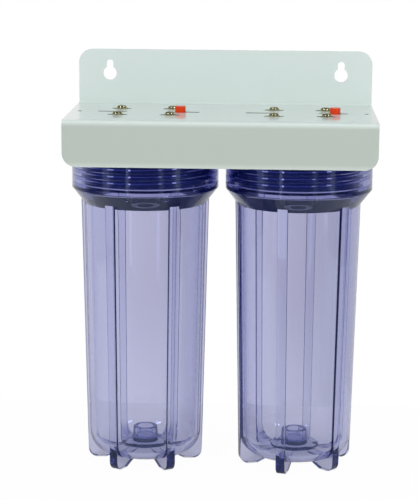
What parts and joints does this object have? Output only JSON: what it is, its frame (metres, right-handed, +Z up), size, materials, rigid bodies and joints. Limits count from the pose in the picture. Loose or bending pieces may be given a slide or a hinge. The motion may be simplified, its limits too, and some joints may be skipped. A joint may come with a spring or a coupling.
{
  "type": "two-stage water filter",
  "caption": "Wall-hung water filter: clear screw-on bowls with ribbed feet under dark blue caps on a bent white bracket with keyholes, with red relief buttons.",
  "frame": {"origin": "on the surface under the bowls' feet, midway between the housings and midway between the bracket's front and back", "axes": "+X along the bracket, +Y towards the wall that the plate hangs on, +Z up along the bowls' axes"},
  "size_m": [0.27, 0.139, 0.3685],
  "materials": {
    "bracket_paint": "pale grey-green white powder coat, satin gloss",
    "cap_plastic": "dark navy moulded plastic",
    "bowl_plastic": "clear moulded plastic with a faint blue-violet tint, polished",
    "seal_rubber": "black rubber, dull",
    "button_plastic": "red-orange moulded plastic, glossy",
    "screw_zinc": "yellow zinc plated steel",
    "spring_steel": "stainless spring steel",
    "nipple_brass": "turned brass"
  },
  "bodies": {
    "bracket_and_caps": {"wall_bracket": "bracket_paint", "left_cap": "cap_plastic", "right_cap": "cap_plastic", "left_cap_screws": "screw_zinc", "right_cap_screws": "screw_zinc", "left_cap_washers": "screw_zinc", "right_cap_washers": "screw_zinc", "link_nipple": "nipple_brass", "link_gaskets": "seal_rubber"},
    "left_seal_ring": {"left_bowl_seal": "seal_rubber"},
    "left_bowl_turning": {"left_bowl": "bowl_plastic"},
    "left_relief_valve": {"left_relief_button": "button_plastic", "left_relief_spring": "spring_steel", "left_relief_seal": "seal_rubber", "left_relief_clip": "spring_steel"},
    "right_seal_ring": {"right_bowl_seal": "seal_rubber"},
    "right_bowl_turning": {"right_bowl": "bowl_plastic"},
    "right_relief_valve": {"right_relief_button": "button_plastic", "right_relief_spring": "spring_steel", "right_relief_seal": "seal_rubber", "right_relief_clip": "spring_steel"}
  },
  "joints": [
    {"name": "left_bowl_lowering", "type": "slide", "parent": "bracket_and_caps", "child": "left_seal_ring", "axis": [0, 0, -1], "range_m": [0, 0.0225]},
    {"name": "left_bowl_unscrewing", "type": "hinge", "parent": "left_seal_ring", "child": "left_bowl_turning", "pos_m": [-0.0685, 0, 0.15], "axis": [0, 0, -1], "range_deg": [0, 1350]},
    {"name": "left_relief_press", "type": "slide", "parent": "bracket_and_caps", "child": "left_relief_valve", "axis": [0, 0, -1], "range_m": [0, 0.002], "stiffness_N_per_m": 500, "springref_m": -0.003, "deforming": ["left_relief_spring"]},
    {"name": "right_bowl_lowering", "type": "slide", "parent": "bracket_and_caps", "child": "right_seal_ring", "axis": [0, 0, -1], "range_m": [0, 0.0225]},
    {"name": "right_bowl_unscrewing", "type": "hinge", "parent": "right_seal_ring", "child": "right_bowl_turning", "pos_m": [0.0685, 0, 0.15], "axis": [0, 0, -1], "range_deg": [0, 1350]},
    {"name": "right_relief_press", "type": "slide", "parent": "bracket_and_caps", "child": "right_relief_valve", "axis": [0, 0, -1], "range_m": [0, 0.002], "stiffness_N_per_m": 500, "springref_m": -0.003, "deforming": ["right_relief_spring"]}
  ],
  "couplings": [
    {"joint": "left_bowl_lowering", "follows": "left_bowl_unscrewing", "m_per_rad": 0.00095492},
    {"joint": "right_bowl_lowering", "follows": "right_bowl_unscrewing", "m_per_rad": 0.00095492}
  ]
}
